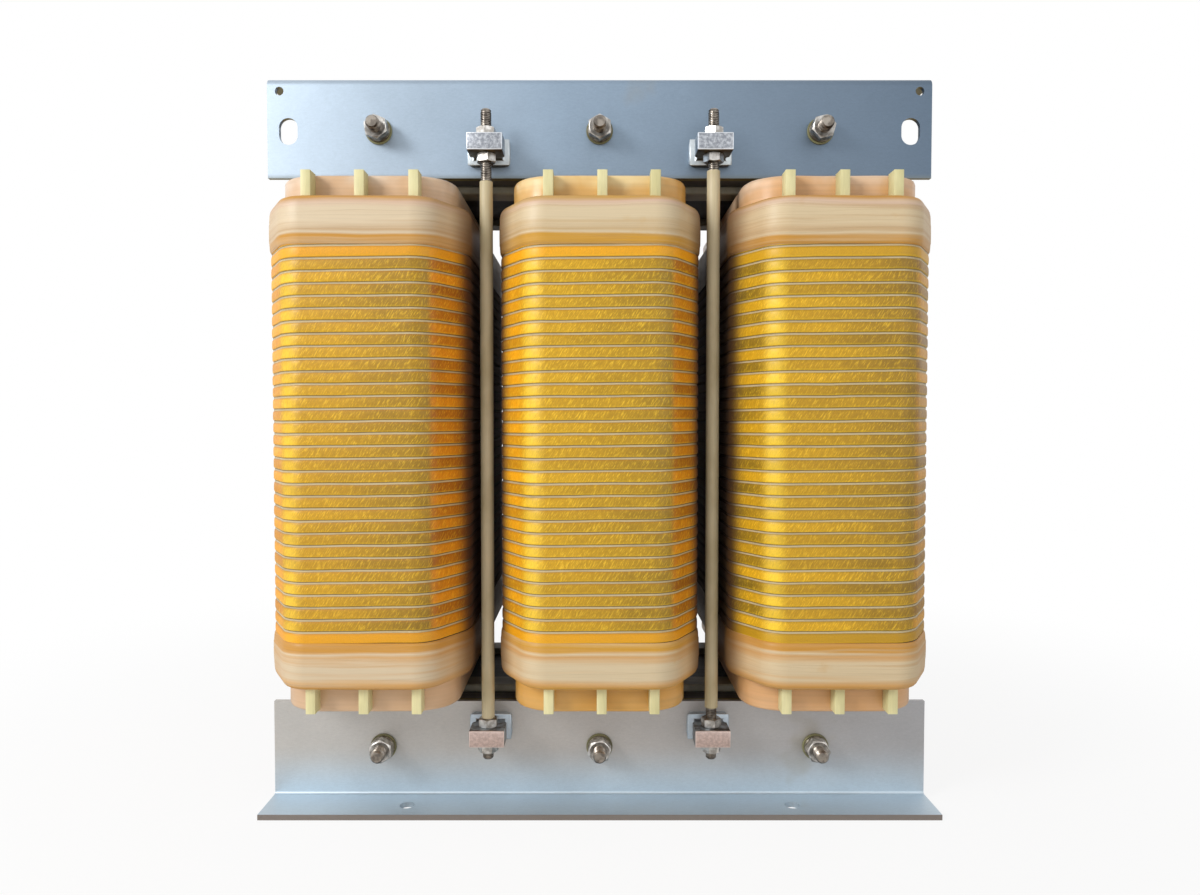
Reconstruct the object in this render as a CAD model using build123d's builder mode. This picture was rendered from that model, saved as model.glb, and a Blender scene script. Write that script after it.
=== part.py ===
"""Three-phase dry-type transformer of open construction, in millimetres.

A laminated core of three limbs and two yokes stands between two pairs of folded clamps.
The lower clamps end in feet that turn outwards, the upper ones in stiffening flanges
that turn in over the yoke. Insulated studs squeeze the clamps on the yokes, and four
tie rods in welded lugs pull the upper clamps towards the lower ones. Each limb carries
a coil: a former, two inner windings, and a ridged outer winding between two taped
bands, with sticks of glass-fibre laminate that hold air ducts open at front and rear.

X runs along the core, Y from front (-) to rear (+), and Z up. The origin is at floor
level, under the centre of the core.
"""

import os

from build123d import *

# Core: stacks of laminations.
limb_pitch = 166.0
limb_width = 60.0
yoke_height = 70.0
stack_depth = 160.0

# Clamps, folded from sheet.
clamp_length = 500.0
clamp_sheet = 4.0
lower_clamp_height = 76.0
upper_clamp_height = 75.0
clamp_gap = 398.0
foot_reach = 36.0
flange_reach = 36.0
bend_radius = 2.0
foot_hole_spacing = 288.0
foot_hole_setback = 20.0
foot_hole_diameter = 11.0
lifting_slot_inset = 15.8
lifting_slot_width = 14.0
lifting_slot_height = 20.0
earth_hole_inset = 9.2
earth_hole_drop = 10.0
earth_hole_diameter = 6.5

# Insulating boards between the clamps and the yokes.
board_thickness = 3.0
board_overhang = 6.0
board_recess = 3.0

# Clamp studs (M10), with their tubes, washers and nuts.
stud_diameter = 10.0
bore_clearance = 0.2
stud_tube_wall = 1.7
stud_hole_clearance = 0.4
stud_tip = 10.6
stud_chamfer = 1.2
insulating_washer_diameter = 20.0
insulating_washer_thickness = 2.0
steel_washer_diameter = 18.0
steel_washer_thickness = 2.0
stud_nut_flats = 16.0
stud_nut_height = 8.4

# Tie rods (M8), with their sleeves, lugs and nuts.
rod_diameter = 8.0
rod_reach = 20.5
rod_tip_above = 13.3
rod_tip_below = 5.3
rod_chamfer = 1.0
rod_nut_flats = 13.0
rod_nut_height = 6.5
sleeve_wall = 0.7
sleeve_length = 395.0
sleeve_lifts = {"left": 0.0, "right": 7.8}
lug_offset = 18.0
lug_flange_width = 32.0
lug_flange_height = 20.0
lug_flange_thickness = 5.0
lug_flange_radius = 5.0
lug_head_width = 26.0
lug_head_height = 12.4
lug_head_margin = 11.5
lug_waist_width = 21.0
lug_edge = 1.0
lug_hole_clearance = 1.0

# Coil plan: a box with slanted corners, rounded where the front meets the slant.
front_flat_width = 98.0
corner_run = 40.0
corner_radius = 12.0

# Coil layers, from the limb outwards, and the air ducts at their front and rear.
former_clearance = 0.6
former_wall = 2.0
inner_wall = 14.5
middle_wall = 15.0
outer_wall = 9.0
layer_clearance = 0.3
duct_depth = 12.1
slant_clearance = 1.0
inner_corner_radius = 12.0

# Coil heights: the strips that carry the coils, and how far each layer ends from them.
strip_height = 6.0
strip_depth = 22.0
strip_setback = 15.0
strip_edge = 1.0
inner_margin = 2.0
outer_margin = 24.0
band_height = 33.0
band_swell = 1.3
band_edge = 3.0
middle_edge = 1.5

# Outer winding: turns of taped flat conductor.
turn_count = 32
turn_groove = 0.7
turn_bevel = 3.6

# Duct sticks: three in each duct, closer together towards the limb.
stick_width = 7.0
inner_stick_pitch = 24.0
middle_stick_pitch = 33.0
outer_stick_pitch = 37.0
stick_shift = 1.0

# Places worked out from the sizes above.
limbs = {"left": -limb_pitch, "middle": 0.0, "right": limb_pitch}
sides = {"front": -1, "rear": 1}
core_face = stack_depth / 2
clamp_back = core_face + board_thickness
clamp_face = clamp_back + clamp_sheet
core_length = 2 * limb_pitch + limb_width
window_base = lower_clamp_height
window_top = window_base + clamp_gap
window_width = limb_pitch - limb_width
clamp_top = window_top + upper_clamp_height
stud_levels = {"lower": window_base - yoke_height / 2, "upper": window_top + yoke_height / 2}
stud_bore = stud_diameter + bore_clearance
stud_tube_diameter = stud_bore + 2 * stud_tube_wall
stud_hole_diameter = stud_tube_diameter + stud_hole_clearance
rod_places = {"left": -limb_pitch / 2, "right": limb_pitch / 2}
rod_y = clamp_face + rod_reach
rod_bore = rod_diameter + bore_clearance
lug_levels = {"lower": window_base - lug_offset, "upper": window_top + lug_offset}

coil_base = window_base + strip_height
coil_top = window_top - strip_height
coil_height = coil_top - coil_base
inner_base = coil_base + inner_margin
inner_height = coil_height - 2 * inner_margin
band_base = coil_base + outer_margin
band_top = coil_top - outer_margin
turns_base = band_base + band_height
turns_top = band_top - band_height
turn_height = (turns_top - turns_base) / turn_count
former_half_width = limb_width / 2 + former_clearance + former_wall
former_half_depth = core_face + former_clearance + former_wall
inner_half_width = former_half_width + layer_clearance + inner_wall
inner_half_depth = former_half_depth + duct_depth + inner_wall
middle_half_width = inner_half_width + layer_clearance + middle_wall
middle_half_depth = inner_half_depth + duct_depth + middle_wall
outer_half_width = middle_half_width + layer_clearance + outer_wall
outer_half_depth = middle_half_depth + duct_depth + outer_wall

# The slant of the coil plan: the parts of its outward normal, and its distance from the limb's axis.
slant_across = outer_half_width - front_flat_width / 2
slant_length = (slant_across**2 + corner_run**2) ** 0.5
slant_x = corner_run / slant_length
slant_y = slant_across / slant_length
outer_slant = slant_x * front_flat_width / 2 + slant_y * outer_half_depth
middle_slant = outer_slant - outer_wall - slant_clearance

os.makedirs("parts", exist_ok=True)


def slanted_box(half_width, half_depth, slant, radius=0, bevel=0):
    """Makes the plan of a winding: a box with slanted corners, whose front corners are rounded or bevelled."""
    flat = (slant - slant_y * half_depth) / slant_x
    shoulder = (slant - slant_x * half_width) / slant_y
    with BuildSketch() as plan:
        with BuildLine():
            Polyline(
                (flat, half_depth),
                (half_width, shoulder),
                (half_width, -shoulder),
                (flat, -half_depth),
                (-flat, -half_depth),
                (-half_width, -shoulder),
                (-half_width, shoulder),
                (-flat, half_depth),
                close=True,
            )
        make_face()
        rows = plan.vertices().group_by(Axis.Y)
        if radius:
            fillet(rows[0] + rows[-1], radius)
        if bevel:
            chamfer(rows[0] + rows[-1], bevel)
    return plan.sketch


def outward(x, y, z, sign):
    """Gives the plane at a point that faces away from the core, to the front or the rear."""
    return Plane(origin=(x, sign * y, z), x_dir=(1, 0, 0), z_dir=(0, sign, 0))


# Core: three limbs, butted between two yokes that the studs pass through.
for name, x in limbs.items():
    with BuildPart() as limb:
        with BuildSketch(Plane.XY.offset(window_base)):
            with Locations((x, 0)):
                Rectangle(limb_width, stack_depth)
        extrude(amount=clamp_gap)
    limb.part.label = f"core_limb_{name}"
    export_step(limb.part, f"parts/core_limb_{name}.step")

for level, z in stud_levels.items():
    with BuildPart() as yoke:
        with BuildSketch(Plane.XZ):
            with Locations((0, z)):
                Rectangle(core_length, yoke_height)
            with Locations([(x, z) for x in limbs.values()]):
                Circle(stud_hole_diameter / 2, mode=Mode.SUBTRACT)
        extrude(amount=core_face, both=True)
    yoke.part.label = f"core_{level}_yoke"
    export_step(yoke.part, f"parts/core_{level}_yoke.step")

# Lower clamps: angles whose horizontal legs are the feet.
for side, sign in sides.items():
    with BuildPart() as lower_clamp:
        with BuildSketch(Plane.YZ) as section:
            with BuildLine():
                Polyline(
                    (sign * clamp_back, lower_clamp_height),
                    (sign * clamp_back, 0),
                    (sign * (clamp_face + foot_reach), 0),
                    (sign * (clamp_face + foot_reach), clamp_sheet),
                    (sign * clamp_face, clamp_sheet),
                    (sign * clamp_face, lower_clamp_height),
                    close=True,
                )
            make_face()
            inside = section.vertices().sort_by_distance((sign * clamp_face, clamp_sheet))[0]
            fillet(inside, bend_radius)
            outside = section.vertices().sort_by_distance((sign * clamp_back, 0))[0]
            fillet(outside, bend_radius + clamp_sheet)
        extrude(amount=clamp_length / 2, both=True)
        with BuildSketch(outward(0, clamp_back, stud_levels["lower"], sign)):
            with Locations([(x, 0) for x in limbs.values()]):
                Circle(stud_bore / 2)
        extrude(amount=clamp_sheet, mode=Mode.SUBTRACT)
        with BuildSketch():
            with Locations((0, sign * (clamp_face + foot_hole_setback))):
                with GridLocations(foot_hole_spacing, 0, 2, 1):
                    Circle(foot_hole_diameter / 2)
        extrude(amount=clamp_sheet, mode=Mode.SUBTRACT)
    lower_clamp.part.label = f"lower_clamp_{side}"
    export_step(lower_clamp.part, f"parts/lower_clamp_{side}.step")

# Upper clamps: angles whose flanges lie over the yoke, with lifting slots and earthing holes.
for side, sign in sides.items():
    with BuildPart() as upper_clamp:
        with BuildSketch(Plane.YZ) as section:
            with BuildLine():
                Polyline(
                    (sign * clamp_face, window_top),
                    (sign * clamp_face, clamp_top),
                    (sign * (clamp_back - flange_reach), clamp_top),
                    (sign * (clamp_back - flange_reach), clamp_top - clamp_sheet),
                    (sign * clamp_back, clamp_top - clamp_sheet),
                    (sign * clamp_back, window_top),
                    close=True,
                )
            make_face()
            inside = section.vertices().sort_by_distance((sign * clamp_back, clamp_top - clamp_sheet))[0]
            fillet(inside, bend_radius)
            outside = section.vertices().sort_by_distance((sign * clamp_face, clamp_top))[0]
            fillet(outside, bend_radius + clamp_sheet)
        extrude(amount=clamp_length / 2, both=True)
        with BuildSketch(outward(0, clamp_back, stud_levels["upper"], sign)):
            with Locations([(x, 0) for x in limbs.values()]):
                Circle(stud_bore / 2)
            with GridLocations(clamp_length - 2 * lifting_slot_inset, 0, 2, 1):
                SlotOverall(lifting_slot_height, lifting_slot_width, rotation=90)
        extrude(amount=clamp_sheet, mode=Mode.SUBTRACT)
        with BuildSketch(outward(0, clamp_back, clamp_top - earth_hole_drop, sign)):
            with GridLocations(clamp_length - 2 * earth_hole_inset, 0, 2, 1):
                Circle(earth_hole_diameter / 2)
        extrude(amount=clamp_sheet, mode=Mode.SUBTRACT)
    upper_clamp.part.label = f"upper_clamp_{side}"
    export_step(upper_clamp.part, f"parts/upper_clamp_{side}.step")

# Insulating boards between the clamps and the yokes, flush with the window and clear of the bends.
board_middles = {
    "lower": stud_levels["lower"] + board_recess / 2,
    "upper": stud_levels["upper"] - board_recess / 2,
}
for side, sign in sides.items():
    for level, z in stud_levels.items():
        with BuildPart() as board:
            with BuildSketch(outward(0, core_face, board_middles[level], sign)):
                Rectangle(core_length + 2 * board_overhang, yoke_height - board_recess)
            extrude(amount=board_thickness)
            with BuildSketch(outward(0, core_face, z, sign)):
                with Locations([(x, 0) for x in limbs.values()]):
                    Circle(stud_hole_diameter / 2)
            extrude(amount=board_thickness, mode=Mode.SUBTRACT)
        board.part.label = f"yoke_board_{level}_{side}"
        export_step(board.part, f"parts/yoke_board_{level}_{side}.step")

# Clamp studs, through the yokes.
washers_height = insulating_washer_thickness + steel_washer_thickness
stud_half_length = clamp_face + washers_height + stud_nut_height + stud_tip
for level, z in stud_levels.items():
    with BuildPart() as studs:
        with BuildSketch(Plane.XZ):
            with Locations([(x, z) for x in limbs.values()]):
                Circle(stud_diameter / 2)
        extrude(amount=stud_half_length, both=True)
        ends = studs.edges().filter_by(GeomType.CIRCLE)
        chamfer(ends, stud_chamfer)
    studs.part.label = f"yoke_studs_{level}"
    export_step(studs.part, f"parts/yoke_studs_{level}.step")

with BuildPart() as stud_tubes:
    with BuildSketch(Plane.XZ):
        with Locations([(x, z) for x in limbs.values() for z in stud_levels.values()]):
            Circle(stud_tube_diameter / 2)
            Circle(stud_bore / 2, mode=Mode.SUBTRACT)
    extrude(amount=clamp_back, both=True)
stud_tubes.part.label = "yoke_stud_tubes"
export_step(stud_tubes.part, "parts/yoke_stud_tubes.step")

# What each stud carries on either clamp, from the clamp outwards.
stud_points = [(x, z, sign) for sign in sides.values() for z in stud_levels.values() for x in limbs.values()]
with BuildPart() as insulating_washers:
    for x, z, sign in stud_points:
        with BuildSketch(outward(x, clamp_face, z, sign)):
            Circle(insulating_washer_diameter / 2)
            Circle(stud_bore / 2, mode=Mode.SUBTRACT)
    extrude(amount=insulating_washer_thickness)
insulating_washers.part.label = "insulating_washers"
export_step(insulating_washers.part, "parts/insulating_washers.step")

with BuildPart() as steel_washers:
    for x, z, sign in stud_points:
        with BuildSketch(outward(x, clamp_face + insulating_washer_thickness, z, sign)):
            Circle(steel_washer_diameter / 2)
            Circle(stud_bore / 2, mode=Mode.SUBTRACT)
    extrude(amount=steel_washer_thickness)
steel_washers.part.label = "steel_washers"
export_step(steel_washers.part, "parts/steel_washers.step")

with BuildPart() as stud_nuts:
    for x, z, sign in stud_points:
        with BuildSketch(outward(x, clamp_face + washers_height, z, sign)):
            RegularPolygon(stud_nut_flats / 2, 6, major_radius=False)
            Circle(stud_bore / 2, mode=Mode.SUBTRACT)
    extrude(amount=stud_nut_height)
stud_nuts.part.label = "yoke_stud_nuts"
export_step(stud_nuts.part, "parts/yoke_stud_nuts.step")

# Tie rods, in sleeves between the lugs.
half_head = lug_head_height / 2
rod_base = lug_levels["lower"] - half_head - rod_nut_height - rod_tip_below
rod_top = lug_levels["upper"] + half_head + rod_nut_height + rod_tip_above
sleeve_seat = lug_levels["lower"] + half_head + rod_nut_height
for side, sign in sides.items():
    for place, x in rod_places.items():
        with BuildPart() as tie_rod:
            with BuildSketch(Plane.XY.offset(rod_base)):
                with Locations((x, sign * rod_y)):
                    Circle(rod_diameter / 2)
            extrude(amount=rod_top - rod_base)
            chamfer(tie_rod.edges().filter_by(GeomType.CIRCLE), rod_chamfer)
        tie_rod.part.label = f"tie_rod_{side}_{place}"
        export_step(tie_rod.part, f"parts/tie_rod_{side}_{place}.step")

        with BuildPart() as rod_sleeve:
            with BuildSketch(Plane.XY.offset(sleeve_seat + sleeve_lifts[place])):
                with Locations((x, sign * rod_y)):
                    Circle(rod_bore / 2 + sleeve_wall)
                    Circle(rod_bore / 2, mode=Mode.SUBTRACT)
            extrude(amount=sleeve_length)
        rod_sleeve.part.label = f"rod_sleeve_{side}_{place}"
        export_step(rod_sleeve.part, f"parts/rod_sleeve_{side}_{place}.step")

# Lugs, welded on the clamps: a flange, a waist with hollow flanks, and a head with the rod's hole.
waist_run = rod_reach - lug_head_margin - lug_flange_thickness
waist_middle = clamp_face + lug_flange_thickness + waist_run / 2
lug_hole_diameter = rod_diameter + lug_hole_clearance
for side, sign in sides.items():
    for level, z in lug_levels.items():
        with BuildPart() as lugs:
            with BuildSketch(outward(0, clamp_face, z, sign)):
                with GridLocations(limb_pitch, 0, 2, 1):
                    RectangleRounded(lug_flange_width, lug_flange_height, lug_flange_radius)
            extrude(amount=lug_flange_thickness)
            with BuildSketch(Plane.XY.offset(z)):
                with Locations((0, sign * waist_middle)):
                    with GridLocations(limb_pitch, 0, 2, 1):
                        Rectangle(lug_waist_width, waist_run)
                with Locations((0, sign * rod_y)):
                    with GridLocations(limb_pitch, 0, 2, 1):
                        Rectangle(lug_head_width, 2 * lug_head_margin)
            extrude(amount=half_head, both=True)
            front = lugs.faces().filter_by(Axis.Y).group_by(Axis.Y)[0 if sign < 0 else -1]
            chamfer(front.edges(), lug_edge)
            with BuildSketch(Plane.XY.offset(z)):
                with Locations((0, sign * rod_y)):
                    with GridLocations(limb_pitch, 0, 2, 1):
                        Circle(lug_hole_diameter / 2)
            extrude(amount=half_head, both=True, mode=Mode.SUBTRACT)
        lugs.part.label = f"tie_lugs_{level}_{side}"
        export_step(lugs.part, f"parts/tie_lugs_{level}_{side}.step")

for side, sign in sides.items():
    with BuildPart() as rod_nuts:
        for z in lug_levels.values():
            for base in (z + half_head, z - half_head - rod_nut_height):
                with BuildSketch(Plane.XY.offset(base)):
                    with Locations((0, sign * rod_y)):
                        with GridLocations(limb_pitch, 0, 2, 1):
                            RegularPolygon(rod_nut_flats / 2, 6, major_radius=False)
                            Circle(rod_bore / 2, mode=Mode.SUBTRACT)
        extrude(amount=rod_nut_height)
    rod_nuts.part.label = f"tie_rod_nuts_{side}"
    export_step(rod_nuts.part, f"parts/tie_rod_nuts_{side}.step")

# Strips that hold the coils between the yokes, along both windows.
strip_spacing = stack_depth - 2 * strip_setback - strip_depth
for level, base in {"lower": window_base, "upper": coil_top}.items():
    with BuildPart() as strips:
        with BuildSketch(Plane.XY.offset(base)):
            with GridLocations(limb_pitch, strip_spacing, 2, 2):
                Rectangle(window_width, strip_depth)
        extrude(amount=strip_height)
        chamfer(strips.edges().filter_by(Axis.X), strip_edge)
    strips.part.label = f"coil_support_strips_{level}"
    export_step(strips.part, f"parts/coil_support_strips_{level}.step")

# Plans of the slanted windings and of their bores, for one coil.
middle_plan = slanted_box(middle_half_width, middle_half_depth, middle_slant, corner_radius)
middle_bore = slanted_box(
    middle_half_width - middle_wall,
    middle_half_depth - middle_wall,
    middle_slant - middle_wall,
    bend_radius,
)
outer_bore = slanted_box(
    outer_half_width - outer_wall,
    outer_half_depth - outer_wall,
    outer_slant - outer_wall,
    corner_radius - outer_wall,
)
crest_plan = slanted_box(outer_half_width, outer_half_depth, outer_slant, bevel=turn_bevel)
groove_plan = slanted_box(
    outer_half_width - turn_groove,
    outer_half_depth - turn_groove,
    outer_slant - turn_groove,
    bevel=turn_bevel,
)
band_plan = slanted_box(
    outer_half_width + band_swell,
    outer_half_depth + band_swell,
    outer_slant + band_swell,
    corner_radius + band_swell,
)
ducts = {
    former_half_depth: inner_stick_pitch,
    inner_half_depth: middle_stick_pitch,
    middle_half_depth: outer_stick_pitch,
}

# Coils: one of each layer for each limb.
for name, x in limbs.items():
    with BuildPart() as former:
        with BuildSketch(Plane.XY.offset(coil_base)):
            with Locations((x, 0)):
                Rectangle(2 * former_half_width, 2 * former_half_depth)
                Rectangle(
                    2 * (former_half_width - former_wall),
                    2 * (former_half_depth - former_wall),
                    mode=Mode.SUBTRACT,
                )
        extrude(amount=coil_height)
    former.part.label = f"coil_former_{name}"
    export_step(former.part, f"parts/coil_former_{name}.step")

    with BuildPart() as inner_winding:
        with BuildSketch(Plane.XY.offset(inner_base)):
            with Locations((x, 0)):
                RectangleRounded(2 * inner_half_width, 2 * inner_half_depth, inner_corner_radius)
                Rectangle(
                    2 * (inner_half_width - inner_wall),
                    2 * (inner_half_depth - inner_wall),
                    mode=Mode.SUBTRACT,
                )
        extrude(amount=inner_height)
    inner_winding.part.label = f"inner_winding_{name}"
    export_step(inner_winding.part, f"parts/inner_winding_{name}.step")

    with BuildPart() as middle_winding:
        with BuildSketch(Plane.XY.offset(inner_base)):
            with Locations((x, 0)):
                add(middle_plan)
        extrude(amount=inner_height)
        chamfer(middle_winding.faces().filter_by(Axis.Z).edges(), middle_edge)
        with BuildSketch(Plane.XY.offset(inner_base)):
            with Locations((x, 0)):
                add(middle_bore)
        extrude(amount=inner_height, mode=Mode.SUBTRACT)
    middle_winding.part.label = f"middle_winding_{name}"
    export_step(middle_winding.part, f"parts/middle_winding_{name}.step")

    with BuildPart() as duct_sticks:
        with BuildSketch(Plane.XY.offset(coil_base)):
            for duct_face, pitch in ducts.items():
                with Locations((x + stick_shift, 0)):
                    with GridLocations(pitch, 2 * duct_face + duct_depth, 3, 2):
                        Rectangle(stick_width, duct_depth)
        extrude(amount=coil_height)
    duct_sticks.part.label = f"duct_sticks_{name}"
    export_step(duct_sticks.part, f"parts/duct_sticks_{name}.step")

    with BuildPart() as outer_winding:
        for number in range(2 * turn_count + 1):
            with BuildSketch(Plane.XY.offset(turns_base + number * turn_height / 2)):
                with Locations((x, 0)):
                    add(crest_plan if number % 2 else groove_plan)
        loft(ruled=True)
        with BuildSketch(Plane.XY.offset(turns_base)):
            with Locations((x, 0)):
                add(outer_bore)
        extrude(amount=turns_top - turns_base, mode=Mode.SUBTRACT)
    outer_winding.part.label = f"outer_winding_{name}"
    export_step(outer_winding.part, f"parts/outer_winding_{name}.step")

    for level, base in {"lower": band_base, "upper": turns_top}.items():
        with BuildPart() as band:
            with BuildSketch(Plane.XY.offset(base)):
                with Locations((x, 0)):
                    add(band_plan)
            extrude(amount=band_height)
            ends = band.faces().filter_by(Axis.Z).sort_by(Axis.Z)
            coil_end = ends[0] if level == "lower" else ends[-1]
            chamfer(coil_end.edges(), band_edge)
            with BuildSketch(Plane.XY.offset(base)):
                with Locations((x, 0)):
                    add(outer_bore)
            extrude(amount=band_height, mode=Mode.SUBTRACT)
        band.part.label = f"end_band_{level}_{name}"
        export_step(band.part, f"parts/end_band_{level}_{name}.step")
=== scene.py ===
"""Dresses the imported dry-type transformer with its tapes, threads, castings and finishes.

The classes below hold sizes in millimetres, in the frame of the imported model: X runs
along the core, Y from front to rear, and Z up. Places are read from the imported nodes.
"""

import logging
import math
import random
from bisect import bisect_right
from dataclasses import dataclass
from enum import Enum
from itertools import product
from typing import Callable, Iterable, Optional, Sequence, Union

import bmesh
import bpy
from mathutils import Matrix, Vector


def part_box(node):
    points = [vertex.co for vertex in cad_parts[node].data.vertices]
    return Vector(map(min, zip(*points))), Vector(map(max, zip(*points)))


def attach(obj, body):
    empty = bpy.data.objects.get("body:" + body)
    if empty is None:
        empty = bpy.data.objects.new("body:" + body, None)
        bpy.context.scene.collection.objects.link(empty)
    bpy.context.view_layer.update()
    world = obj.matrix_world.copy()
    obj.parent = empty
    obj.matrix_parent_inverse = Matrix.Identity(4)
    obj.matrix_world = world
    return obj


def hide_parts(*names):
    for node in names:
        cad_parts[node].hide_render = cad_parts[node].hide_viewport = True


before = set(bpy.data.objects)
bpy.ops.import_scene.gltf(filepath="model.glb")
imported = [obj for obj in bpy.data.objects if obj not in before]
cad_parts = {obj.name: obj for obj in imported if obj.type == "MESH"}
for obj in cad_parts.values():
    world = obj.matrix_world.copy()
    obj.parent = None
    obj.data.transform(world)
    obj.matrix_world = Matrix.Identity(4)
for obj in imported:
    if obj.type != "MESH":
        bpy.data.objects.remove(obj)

LOG = logging.getLogger("transformer")
MM = 0.001

# Places that the finishes read, in metres.
COIL_PITCH = 0.166
FRONT_EDGE = 0.0475
CLAMP_TIP = 0.1225
LUG_FACE = 0.119

Triple = tuple[float, float, float]
Colour = tuple[float, float, float, float]
Test = Callable[[Vector, Vector], bool]
Level = tuple[float, float]


class Slot(Enum):
    """The material slots."""

    CORE = "core_steel"
    CLAMP = "clamp_zinc"
    LUG = "lug_zinc"
    FASTENER = "fastener_steel"
    LAMINATE = "laminate"
    WASHER = "washer_laminate"
    SLEEVE = "sleeve_laminate"
    STICK = "stick_laminate"
    WRAP = "inner_wrap"
    TAPE = "winding_tape"
    BAND = "band_tape"


class Coil(Enum):
    """The three coils."""

    LEFT = "left"
    MIDDLE = "middle"
    RIGHT = "right"


class Height(Enum):
    """The two ends of the transformer."""

    LOWER = "lower"
    UPPER = "upper"


class Side(Enum):
    """The two faces of the transformer, with the sign of their Y."""

    FRONT = -1
    REAR = 1

    @property
    def word(self) -> str:
        """Gives the word that the node names use."""
        return self.name.lower()


def ink(red: int, green: int, blue: int) -> Colour:
    """Turns a display colour into the linear one that shaders take.

    Args:
        red: Red, from 0 to 255.
        green: Green, from 0 to 255.
        blue: Blue, from 0 to 255.

    Returns:
        The linear colour, opaque.
    """
    parts = [part / 255 for part in (red, green, blue)]
    linear = [p / 12.92 if p <= 0.04045 else ((p + 0.055) / 1.055) ** 2.4 for p in parts]
    return (linear[0], linear[1], linear[2], 1.0)


def middle_of(node: str) -> Vector:
    """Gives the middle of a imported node's box, in millimetres."""
    low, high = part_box(node)
    return (low + high) / 2 / MM


def span_of(node: str) -> tuple[Vector, Vector]:
    """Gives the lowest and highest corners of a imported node, in millimetres."""
    low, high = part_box(node)
    return low / MM, high / MM


# Shaping.


def start_fresh() -> None:
    """Leaves edit mode and deselects every object."""
    if bpy.context.object and bpy.context.object.mode != "OBJECT":
        bpy.ops.object.mode_set(mode="OBJECT")
    bpy.ops.object.select_all(action="DESELECT")


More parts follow.
